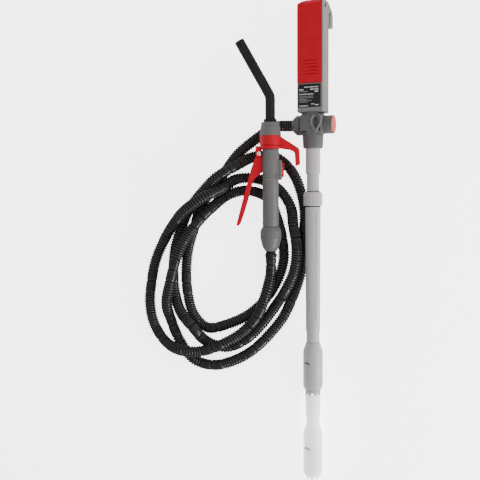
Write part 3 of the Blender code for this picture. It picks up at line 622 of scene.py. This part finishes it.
def hose():
    """The hose laid along its route: the piece, its path in the frame and its length in mm."""
    line = smooth_line([Vector(point) for point in HOSE_ROUTE], 40)
    for point in line:
        point.z = max(point.z, CREST_R + 0.1)
    lengths = [0.0]
    for a, b in zip(line, line[1:]):
        lengths.append(lengths[-1] + (b - a).length)
    total = lengths[-1]
    points, radii = [], []
    segment = 0
    for at, radius in hose_rings(total):
        while segment < len(line) - 2 and lengths[segment + 1] < at:
            segment += 1
        share = (at - lengths[segment]) / (lengths[segment + 1] - lengths[segment])
        points.append(line[segment].lerp(line[segment + 1], share))
        radii.append(radius)
    path = [LAYOUT @ (point * MM) for point in points]
    obj = piece("hose_corrugated", sweep(points, radii, 22), LAYOUT, HOSE_SKIN, "pump_body", "hose",
                smooth=50)
    return obj, path, total


def hose_tie():
    """Wire clip round the hose cuff; its twisted ends stand off to the side."""
    band = lathe([(11.3, -197.6), (11.3, -202.4), (10.15, -202.4), (10.15, -197.6)], 0.5)
    ends = []
    for z, tip, lift in ((-198.6, 17.5, 2.4), (-200.2, 18.4, 0.4), (-201.6, 17.2, -2.0)):
        path = [Vector((10.6 + (tip - 10.6) * t, -2.0 * t, z + lift * t * t))
                for t in (0, 0.3, 0.6, 0.8, 1.0)]
        ends.append(sweep(path, [0.45] * len(path), 10))
    return piece("hose_clip", gathered([band, *ends]), NOZZLE, SEAL_SKIN, "pump_body", "hose_tie")


# ---------------------------------------------------------------- battery head

HEAD_X, HEAD_Y = 25.0, 20.0
LID_LOW = 743.0
HINGE_Y, HINGE_AT, CROWN_R = -5.0, 882.0, 15.0
COVER_WALL = 2.4
SHOULDER_BACK = 7.5     # how far back the cover's inside follows its rounded shoulder
HOOK_LOW, HOOK_HALF = 852.5, 24


def corner_cutter(inset, back=42):
    """Leaves the cover's left shoulder as a long quarter ellipse seen from the front."""
    middle, size = Vector((3.0, 3.0)), Vector((28.0, 12.0))
    curve = []
    for i in range(33):
        turn = math.radians(180 - 90 * i / 32)
        curve.append((middle.x + (size.x - inset) * math.cos(turn),
                      middle.y + (size.y - inset) * math.sin(turn)))
    return prism([(-32, middle.y), *curve, (middle.x, 32), (-32, 32)], -42, back)


def battery_cover():
    """The red cover, drawn round its hinge: a hollow shell with a half-round crown."""
    low = LID_LOW + 0.3 - HINGE_AT
    back = -3.3
    ear_end = -math.degrees(math.acos(back / CROWN_R))
    outer = [(back, low), (-CROWN_R, low), *arc((0, 0), CROWN_R, 180, ear_end, 60)]
    cover = prism(outer, -HEAD_X, HEAD_X - 2.5, "X", 2.0, 5)
    inside = CROWN_R - 2.1
    hollow_line = [(20, low + 2.1), (-inside, low + 2.1), *arc((0, 0), inside, 180, 55, 30)]
    edge = arc((0, 0), CROWN_R + 2, 55, 54, 1)[0]
    hollow = prism([*hollow_line, edge, (20, edge[1])], -HEAD_X + COVER_WALL, HEAD_X - 4.6, "X")
    pin_hole = moved(rod(1.6, -27, 27, 0), along="X")
    tools = [carved(hollow, corner_cutter(COVER_WALL, SHOULDER_BACK)), corner_cutter(0), pin_hole]
    for row in range(5):
        height = 759.5 + 6.2 * row - HINGE_AT
        tools.append(block((-15, -CROWN_R - 1, height - 1), (15, -CROWN_R + 0.6, height + 1), 0.6))
    hinge = PUMP @ Matrix.Translation(Vector((0, HINGE_Y, HINGE_AT)) * MM)
    piece("cover_shell", carved(cover, *tools), hinge, RED_SKIN, "battery_cover", "battery_cover")


LABEL_ROWS = (
    # left, right, height along the tube, bar height, letter run, bright
    (-10.5, 16.5, 735.6, 1.7, 2.2, True), (-20.2, -12.0, 731.2, 1.9, 2.6, True),
    (1.0, 16.5, 731.4, 1.9, 2.4, True), (-20.2, -4.0, 727.6, 1.3, 1.5, False),
    (9.5, 16.5, 727.4, 2.2, 6.0, True), (-20.0, 7.0, 722.8, 1.5, 1.8, True),
    (-20.0, 6.0, 719.0, 1.2, 1.3, False), (-20.0, 8.0, 716.4, 1.2, 1.3, False),
    (-20.0, -3.0, 713.8, 1.2, 1.3, False), (-20.0, 4.0, 711.2, 1.2, 1.3, False),
    (-20.0, -4.0, 708.6, 1.2, 1.3, False), (3.0, 9.0, 704.6, 1.3, 2.0, True),
    (9.5, 17.0, 702.8, 1.6, 2.4, True), (-20.2, -3.5, 701.6, 1.5, 1.9, True),
)


def label():
    """The black plate, with rows of plain bars where a label has its text."""
    face = -HEAD_Y - 0.8
    plate = block((-22.4, face, 699), (20.5, -HEAD_Y - 0.3, 741.3), 0.25, 2)
    piece("label_face", plate, PUMP, BLACK_SKIN, "pump_body", "label_plate")
    rng = random.Random(7)
    bars = {True: [], False: []}
    for left, right, height, tall, run, bright in LABEL_ROWS:
        x = left
        while x < right - 0.5:
            stop = min(right, x + run * rng.uniform(0.5, 1.5))
            bars[bright].append(block((x, face - 0.06, height - tall / 2),
                                      (stop, face + 0.05, height + tall / 2)))
            x = stop + rng.choice((0.35, 0.35, 0.9))
    piece("label_bars_light", gathered(bars[True]), PUMP, INK_SKIN, "pump_body", slot="label_plate")
    piece("label_bars_dim", gathered(bars[False]), PUMP, DIM_INK_SKIN, "pump_body", slot="label_plate")


def hook():
    """The hook that hangs the head on a drum's rim, with a red pad on its outside."""
    face = HEAD_Y + 0.3
    outline = [(face, 858), (face + 2.6, 858), (face + 2.6, 873), (27, 879), (32, 876), (32, HOOK_LOW),
               (47.5, HOOK_LOW), (47.5, 880), (41, 886), (25, 893.5), (face, 893.5)]
    body = prism(soften(outline, 1.6), -HOOK_HALF, HOOK_HALF, "X", 0.9, 3)
    holes = [moved(rod(1.6, 19, 24, 0), (14 * side, 0, 864), "Y") for side in (-1, 1)]
    piece("hook_body", carved(body, *holes), PUMP, HOUSING_SKIN, "pump_body", "hang_hook")
    # black strips on the hook's sides: a painted shadow of the dark gap under the arm
    gap_shadow_strips = []
    for side in (-1, 1):
        low, high = sorted((side * (HOOK_HALF - 0.6), side * (HOOK_HALF + 0.15)))
        gap_shadow_strips.append(prism([(28, 874.5), (44, 882.5), (44, 884.7), (28, 877.5)], low, high, "X", 0.1))
    piece("hook_gap_shadows", gathered(gap_shadow_strips), PUMP, BLACK_SKIN, "pump_body", slot="hang_hook")
    pad = block((-HOOK_HALF, 47.8, HOOK_LOW + 0.5), (HOOK_HALF, 51.8, 879), 1.4, 4)
    piece("hook_grip", pad, PUMP, RED_SKIN, "pump_body", "hook_pad")


def head_details():
    """A black block on the case's right side that paints the shade of a slot, and four screw heads in its
    back.
    """
    # painted shade: a black block where the slot is dark inside
    slot = block((HEAD_X - 0.5, -9.2, 882), (HEAD_X + 0.2, -1.4, 889.5), 0.15)
    piece("side_slot_shadow", slot, PUMP, BLACK_SKIN, "pump_body", slot="head_housing")
    screws = []
    for x, z in ((-18, 700), (18, 700), (-18, 738), (18, 738)):
        head = lathe([
            (0, 2.0), (1.0, 2.0), (1.4, 2.4), (3.0, 2.4), (3.4, 2.0), (3.4, 0), (0, 0)], 0.25, 32)
        screws.append(moved(head, (x, HEAD_Y - 1.6, z), "Y"))
    piece("case_screws", gathered(screws), PUMP, STEEL_SKIN, "pump_body", slot="hook_screw_left")


# ---------------------------------------------------------------- outlet tee

BARREL_AT = 668.0
BROW_HIGH = 18.2        # half the height of the tee's bulging front
TEE_RIBS = (
    ((7.6, 684.0), (3.4, 678.3), (2.9, 670.2), (6.1, 660.2), (12.6, 652.4)),
    ((16.0, 684.0), (20.2, 681.0), (20.8, 674.3), (18.9, 667.2), (15.4, 661.2), (12.0, 655.0)),
)


def brow_depth(height):
    """How far the tee's bulging front stands out at a height from the barrel's middle."""
    return 14.0 + 7.4 * max(0.0, 1 - abs(height / BROW_HIGH) ** 4) ** (1 / 4)


def tee_rib(path):
    """A half-buried rib over the tee's front, where the upright and the barrel meet."""
    line = []
    for point in smooth_line([Vector(p) for p in path], 6):
        line.append(Vector((point.x, -brow_depth(point.y - BARREL_AT), point.y)))
    return sweep(line, [2.0] * len(line), 16)


def tee_brow():
    """The bulging front that covers the crossing of the upright and the barrel."""
    front = []
    for i in range(33):
        height = -BROW_HIGH * math.cos(math.pi * i / 32)
        front.append((-brow_depth(height), BARREL_AT + height))
    outline = [(0, BARREL_AT - BROW_HIGH), *front, (0, BARREL_AT + BROW_HIGH)]
    return prism(outline, -19.5, 23, "X", 1.6)


# slots in the tee's front: low corner, high corner, low and high corner of the shadow inside
TEE_SLOTS = (
    ((-17.6, -24, 652.9), (-6, -15, 655.2), (-17.4, -16.6, 653.1), (-6.2, -15.2, 655.0)),
    ((17.0, -26, 656), (19.6, -15, 661), (17.2, -18.2, 656.2), (19.4, -15.2, 660.8)),
)


def pump_tee():
    """The outlet tee, bored for the hose barb and the switch."""
    upright = lathe([
        (0, 689.7), (21.0, 689.7), (21.0, 685.4), (19.0, 683.2), (19.0, 662), (19.6, 649), (18.6, 626.5),
        (16.6, 624.5), (13.9, 624.5), (13.9, 643.8), (0, 643.8)], 1.0, 96)
    at = (0, 0, BARREL_AT)
    barrel = moved(rod(17.0, -21, 40, 0.8, 96), at, "X")
    stub = moved(rod(14.0, -33, -20, 0.3, 72), at, "X")
    band = moved(ring(17.9, 12.0, -20.9, -17.6, 0.5, steps=96), at, "X")
    body = fused(upright, barrel, stub, tee_brow())
    pocket = moved(lathe([(0, 4), (5.0, 4), (5.0, -4), (0, -4)], 0.8, 48), (0, -20.0, 0), "Y")
    oval = Matrix.Translation((11.8, 0, 671)) @ Matrix.Diagonal((0.9, 1, 1.9, 1))
    bmesh.ops.transform(pocket, matrix=oval, verts=pocket.verts)
    slots = [block(low, high, 0.3) for low, high, _, _ in TEE_SLOTS]
    hose_bore = moved(rod(8.0, -35, 2, 0, 48), at, "X")
    switch_bore = moved(lathe([
        (0, 42), (15.9, 42), (15.9, 33), (13.5, 33), (13.5, 13), (0, 13)], 0, 72), at, "X")
    body = carved(body, pocket, *slots, hose_bore, switch_bore)
    piece("tee_body", body, PUMP, GREY_SKIN, "pump_body", "pump_tee", smooth=28)
    front_band = carved(band, block((-22, -4, 650), (-16, 22, 690)))
    ribs = gathered([front_band, *[tee_rib(path) for path in TEE_RIBS]])
    piece("tee_ribs", ribs, PUMP, RIB_SKIN, "pump_body", slot="pump_tee")
    plugs = [block(low, high, 0.2) for _, _, low, high in TEE_SLOTS]
    piece("tee_slot_shadows", gathered(plugs), PUMP, BLACK_SKIN, "pump_body", slot="pump_tee")


def outlet_parts():
    """The power button and the hose's coupling nut, drawn along the barrel's axis."""
    axis = PUMP @ Matrix.Translation((0, 0, BARREL_AT * MM)) @ Matrix.Rotation(math.radians(90), 4, "Y")
    button = lathe([
        (0, 41.3), (8, 41.0), (13.3, 40.3), (15.5, 39.2), (15.5, 36.6), (5, 36.6), (5, 30), (0, 30)], 0.8)
    piece("button_cap", button, axis, BUTTON_SKIN, "power_button", "power_button")
    nut = lathe([
        (17.8, -21.3), (18.5, -22.2), (18.5, -30.6), (10.8, -39.0), (8.7, -39.0), (8.7, -35.6),
        (14.3, -35.6), (14.3, -21.3)], 0.7, 96, (16, 0.8, -30.4, -22.4))
    piece("coupling_ring", nut, axis, GREY_SKIN, "coupling_nut", "hose_coupling_nut")


# ---------------------------------------------------------------- telescopic tube

PUMP_TICK_AT, FOOT_TICK_AT = 223, 62
QUARTERS = (0, 0.25, 0.5, 0.75, 1.0)


def tick(base, radius, first, last, thickness):
    """A bent mark round the front of a bulb, between two angles."""
    bend = ((first, -1.2), (-31, 1.0), (-21, 0.6), (-10, -1.4), (last, -1.0))
    line = smooth_line([around(radius, angle, base + rise) for angle, rise in bend], 4)
    return sweep(line, [thickness] * len(line), 12)


def tick_and_groove(base):
    """Cutters for the tick mark and the upright groove under it on a bulb."""
    groove = [around(18.75, -21, base - 7 - 22 * t) for t in QUARTERS]
    return [tick(base, 18.7, -38, -3, 1.35), sweep(groove, [0.9] * len(groove), 12)]


def tick_fill(name, base, body, node, skin):
    piece(name, tick(base, 18.05, -37, -4, 1.15), PUMP, skin, body, slot=node)


def upper_tubes():
    """The sleeve under the tee and the tube that slides in the main tube."""
    sleeve = ring(13.7, 11.9, 577, 643.5, 0.9, steps=96)
    piece("sleeve", sleeve, PUMP, TUBE_SKIN, "pump_body", "upper_sleeve")
    inner = ring(11.6, 9.8, 300, 640, 0.4, steps=96)
    piece("slide_tube", inner, PUMP, TUBE_SKIN, "pump_body", "inner_tube")


def lower_tubes():
    """The main tube, its clamp nut and the bulb that holds the pump."""
    outer = lathe([
        (13.3, 535), (13.3, 517.5), (14.4, 517.2), (13.4, 284), (12.3, 280), (12.3, 261.8), (10.1, 261.8),
        (10.1, 282), (12.0, 286), (12.0, 535)], 0.8, 96)
    line = [around(14.45 - 0.85 * (1 - t), 42, 306 + 202 * t) for t in (0, 0.02, 0.04, 0.5, 1.0)]
    groove = sweep(line, [1.3, 1.3, 0.85, 0.85, 0.85], 12)
    piece("main_tube", carved(outer, groove), PUMP, TUBE_SKIN, "lower_tube", "outer_tube")
    # dark rubber rings at both ends of the clamp nut, which also paint the shadow in the gaps there
    gaskets_and_gap_shade = gathered([ring(14.75, 13.45, 515.7, 517.3, 0.3), ring(13.2, 12.0, 543.9, 545.2, 0.3)])
    piece("clamp_gaskets_gap_shade", gaskets_and_gap_shade, PUMP, SEAL_SKIN, "lower_tube", slot="collar_seal")
    nut = lathe([
        (15.4, 543.7), (16.9, 541.6), (17.8, 538.5), (17.8, 521.2), (17.9, 519.6), (17.1, 517.8),
        (13.8, 517.8), (13.8, 538.8), (12.0, 538.8), (12.0, 543.7)], 0.7, 144, (18, 0.55, 520.5, 540.5))
    piece("clamp_ring", nut, PUMP, TUBE_SKIN, "clamp_nut", "collar_nut")
    shell = lathe([
        (12.3, 261.5), (13.5, 259.5), (18.5, 244), (18.5, 179), (15.9, 172.1), (12.0, 172.1),
        (12.0, 175.5), (16.5, 180.5), (16.5, 243), (10.1, 258.5), (10.1, 261.5)], 2.0, 120)
    shell = carved(shell, *tick_and_groove(PUMP_TICK_AT))
    piece("pump_bulb", shell, PUMP, TUBE_SKIN, "lower_tube", "pump_housing")
    tick_fill("pump_bulb_mark", PUMP_TICK_AT, "lower_tube", "shaft_seal", SEAL_SKIN)


def notched(shape, count, low, high, width, reach):
    """The shape with notches cut through its wall, evenly spread round Z."""
    tools = []
    for i in range(count):
        tool = block((reach - 4, -width / 2, low), (reach + 4, width / 2, high), 0.3, 2)
        tools.append(moved(tool, spin=360 / count * i + 12))
    return carved(shape, *tools)


def intake_parts():
    """The lock ring and the milky suction tube and foot."""
    lock = notched(ring(14.4, 12.2, 162.3, 171.8, 0.5, steps=96), 8, 161, 166.3, 4.6, 13.3)
    piece("lock_collar", lock, PUMP, TUBE_SKIN, "intake_lock", "lock_ring")
    tube = lathe([
        (14.0, 162), (14.0, 123), (12.5, 120.5), (12.5, 105.3), (10.4, 105.3), (10.4, 123), (12.0, 126),
        (12.0, 162)], 1.2, 96)
    piece("suction_tube", tube, PUMP, MILKY_SKIN, "lower_tube", "intake_tube")
    foot = lathe([
        (12.5, 105), (13.6, 103), (18.15, 88), (18.15, 15), (16.2, 9), (12.2, 9), (12.2, 0), (10.2, 0),
        (10.2, 16), (13.0, 18.5), (16.15, 18.5), (16.15, 87), (10.4, 102), (10.4, 105)], 1.6, 120)
    foot = notched(foot, 6, -1, 5.2, 5.6, 11.2)
    foot = carved(foot, *tick_and_groove(FOOT_TICK_AT))
    piece("foot_bulb", foot, PUMP, MILKY_SKIN, "lower_tube", "intake_foot")
    tick_fill("foot_bulb_mark", FOOT_TICK_AT, "lower_tube", "intake_foot", GREY_SKIN)


# ---------------------------------------------------------------- nozzle

PIVOT = (-21.0, 0, -8.3)     # the lever's pin


def spout_path(start):
    """The spout's middle line: straight up, one bend to the left, straight to the tip."""
    bend_at, bend_r = 97.7, 26.0
    bend, tip = Vector((0, bend_at)), Vector((-57.0, 199.2))
    way = (tip - bend).normalized()
    angle = math.atan2(-way.x, way.y)
    centre = Vector((-bend_r, bend_at - bend_r * math.tan(angle / 2)))
    path = [Vector((0, start))]
    for i in range(17):
        turn = angle * i / 16
        path.append(centre + bend_r * Vector((math.cos(turn), math.sin(turn))))
    path.append(tip - way * 1.2)
    path.append(tip)
    return [Vector((point.x, 0, point.y)) for point in path]


def nozzle_front():
    """The spout, its black collar and the grey nose."""
    path = spout_path(40)
    radii = [9.3] * (len(path) - 1) + [8.6]
    piece("spout_pipe", sweep(path, radii, 40, 7.6), NOZZLE, SPOUT_SKIN, "pump_body", "spout")
    collar = ring(12.3, 9.6, 50.3, 55.5, 0.9, steps=96)
    piece("spout_collar", collar, NOZZLE, BLACK_SKIN, "pump_body", "spout_ferrule")
    nose = lathe([
        (15.8, 50), (17.0, 48.6), (17.3, 42.9), (17.9, 42.3), (18.2, 40), (20.1, 27.4), (20.2, 25.3),
        (7.0, 25.3), (7.0, 39.5), (9.6, 39.5), (9.6, 50)], 0.6, 96)
    piece("nose_cone", nose, NOZZLE, NOZZLE_SKIN, "pump_body", "nozzle_nose")


def guard():
    """The red collar with the guard's arm, and two cheeks that hold the lever's pin."""
    collar = lathe([
        (20.0, 25.0), (20.0, 7.4), (18.9, 7.0), (18.9, 5.8), (19.4, 5.4), (19.4, 0.3), (14.3, 0.3),
        (14.3, 25.0)], 0.4, 96)
    lip = ring(20.6, 17.0, 0.3, 5.6, 0.7, steps=96)
    flange = prism([(-15, 0.4), (-15, 5.6), (-27.1, 5.6), (-27.1, 0.4)], -8.9, 8.9, "Y", 0.7)
    line = [(17.6, 24.0), (19.6, 23.0), (51.2, 2.5), (53.4, 0.3), (54.3, -2.6), (55.8, -29),
            (46.7, -32.7), (45.2, -8), (43, -5.4), (36.4, -2.4), (19.5, 0.2), (17.6, 0.6)]
    arm = prism(soften(line, 1.5), -5.0, 5.0, "Y", 1.0)
    cheeks = []
    for side in (-1, 1):
        low, high = sorted((6.5 * side, 8.9 * side))
        cheek = [(-16.7, 3), (-27.1, 3), (-27.8, -4), (-26.2, -14.4), (-17.4, -14.4), (-16.7, -12)]
        cheeks.append(prism(soften(cheek, 1.0), low, high, "Y", 0.4))
    body = fused(collar, lip, flange, arm, *cheeks)
    body = carved(body, moved(rod(2.1, -12, 12, 0, 32), PIVOT, "Y"))
    piece("guard_frame", body, NOZZLE, RED_SKIN, "pump_body", "guard_collar")
    pin = lathe([(0, 9.0), (2.0, 9.0), (2.0, -9.2), (3.8, -9.2), (3.8, -10.3), (3.0, -10.8), (1.4, -10.8),
                 (1.1, -10.4), (0, -10.4)], 0.2, 40)
    piece("pivot_pin", moved(pin, PIVOT, "Y"), NOZZLE, PLATED_SKIN, "pump_body", "lever_pin")


def trigger():
    """The long squeeze lever, with side walls that reach into the grip's pocket."""
    line = [(-26.6, -3.6), (-27.4, -14), (-35.7, -35.2), (-39.5, -48.3), (-57.6, -114.2), (-64.6, -141.5),
            (-63.2, -144.0), (-60.4, -144.0), (-56.6, -138.5), (-53.4, -129.7), (-48.0, -114.2),
            (-42.0, -94.2), (-33.8, -61.4), (-30.6, -55.8), (-19.0, -46.0), (-16.7, -43.5), (-16.7, -7),
            (-18.5, -3.2)]
    lever = prism(soften(line, 2.2), -6.1, 6.1, "Y", 1.2, 4)
    wall = [(-24, -5), (-15.6, -7.5), (-15.0, -12), (-15.0, -42), (-16.4, -44.6), (-24, -46)]
    walls = [prism(soften(wall, 1.5), *sorted((3.4 * side, 6.0 * side)), "Y", 0.5) for side in (-1, 1)]
    lever = carved(fused(lever, *walls), moved(rod(2.06, -9, 9, 0, 32), PIVOT, "Y"))
    piece("lever", lever, NOZZLE, RED_SKIN, "trigger", "trigger_lever")


def grip():
    """The grey grip with its lock button, and the nut that holds the hose."""
    body = lathe([
        (0, 24.7), (14.0, 24.7), (14.0, 0), (16.0, 0), (16.0, -55.4), (15.2, -56.0), (15.4, -144.5),
        (13.0, -144.5), (13.0, -164), (0, -164)], 0.7, 96)
    boss = block((10, -6.5, -57.8), (21.5, 6.5, -20.4), 1.8, 4)
    bump = moved(lathe([
        (0, 6), (5.2, 6), (5.2, -0.9), (3.4, -1.6), (0, -1.9)], 0.5, 40), (10.8, -12.2, -51), "Y")
    lever_pocket = block((-18, -6.6, -59), (-6, 6.6, -1.6))
    passage = moved(rod(6.5, -166, 26, 0, 40), (5, 0, 0))
    stem_hole = moved(rod(2.6, -8, 1, 0, 32), (0, 0, -36), "X")
    body = carved(fused(body, boss, bump), lever_pocket, passage, stem_hole)
    piece("grip_body", body, NOZZLE, NOZZLE_SKIN, "pump_body", "nozzle_body")
    # a lighter strip round the grip's step: a painted highlight line
    ridge = carved(ring(16.3, 14.6, -57.4, -55.9, 0.3, steps=96), block((-20, -3, -60), (20, 20, -50)),
                   block((-20, -20, -60), (-9.2, 20, -50)), block((4.5, -20, -60), (20, 20, -50)))
    piece("grip_highlight_line", ridge, NOZZLE, GRIP_HIGHLIGHT_SKIN, "pump_body", slot="nozzle_body")
    strip = prism(soften([(21.8, -54), (25.2, -51), (25.2, -28), (21.8, -24)], 0.8), -3.2, 3.2, "Y", 0.6)
    piece("lock_button", strip, NOZZLE, RED_SKIN, "lock_slider", "lock_slider")
    nut = lathe([
        (14.9, -144.8), (17.2, -147.6), (17.5, -149.4), (18.4, -150.0), (19.9, -154.2), (19.9, -167),
        (15.9, -183.6), (14.2, -186.4), (10.8, -191.7), (8.6, -191.7), (8.6, -169), (13.4, -169),
        (13.4, -144.8)],
        0.7, 144, (20, 0.5, -166.5, -154.4))
    piece("tail_ring", nut, NOZZLE, NOZZLE_SKIN, "tail_nut", "tail_nut")


# ---------------------------------------------------------------- kept solids

KEPT = {
    "head_housing": HOUSING_SKIN, "cover_hinge_pin": STEEL_SKIN, "battery_lower": JACKET_SKIN,
    "battery_upper": JACKET_SKIN, "contact_spring": STEEL_SKIN, "contact_plate": BRASS_SKIN,
    "control_board": BOARD_SKIN, "hook_screw_left": STEEL_SKIN, "hook_screw_right": STEEL_SKIN,
    "switch_body": BLACK_SKIN, "hose_barb": BLACK_SKIN, "hose_ferrule": BRASS_SKIN,
    "collar_seal": SEAL_SKIN, "motor_can": STEEL_SKIN, "shaft_seal": SEAL_SKIN,
    "strainer_screen": STEEL_SKIN, "motor_shaft": STEEL_SKIN, "impeller": TUBE_SKIN,
    "check_valve_disc": SEAL_SKIN, "valve_stem": STEEL_SKIN,
}


def dress_kept():
    """Give the CAD solids that stay in the picture their materials."""
    for name, skin in KEPT.items():
        mesh = frame["nodes"][name].data
        mesh.materials.clear()
        mesh.materials.append(skin)


# ---------------------------------------------------------------- build

camera()
hose_obj, hose_path, hose_length = hose()
clip = hose_tie()
studio()
battery_cover()
label()
hook()
head_details()
pump_tee()
outlet_parts()
upper_tubes()
lower_tubes()
intake_parts()
nozzle_front()
guard()
trigger()
grip()
dress_kept()
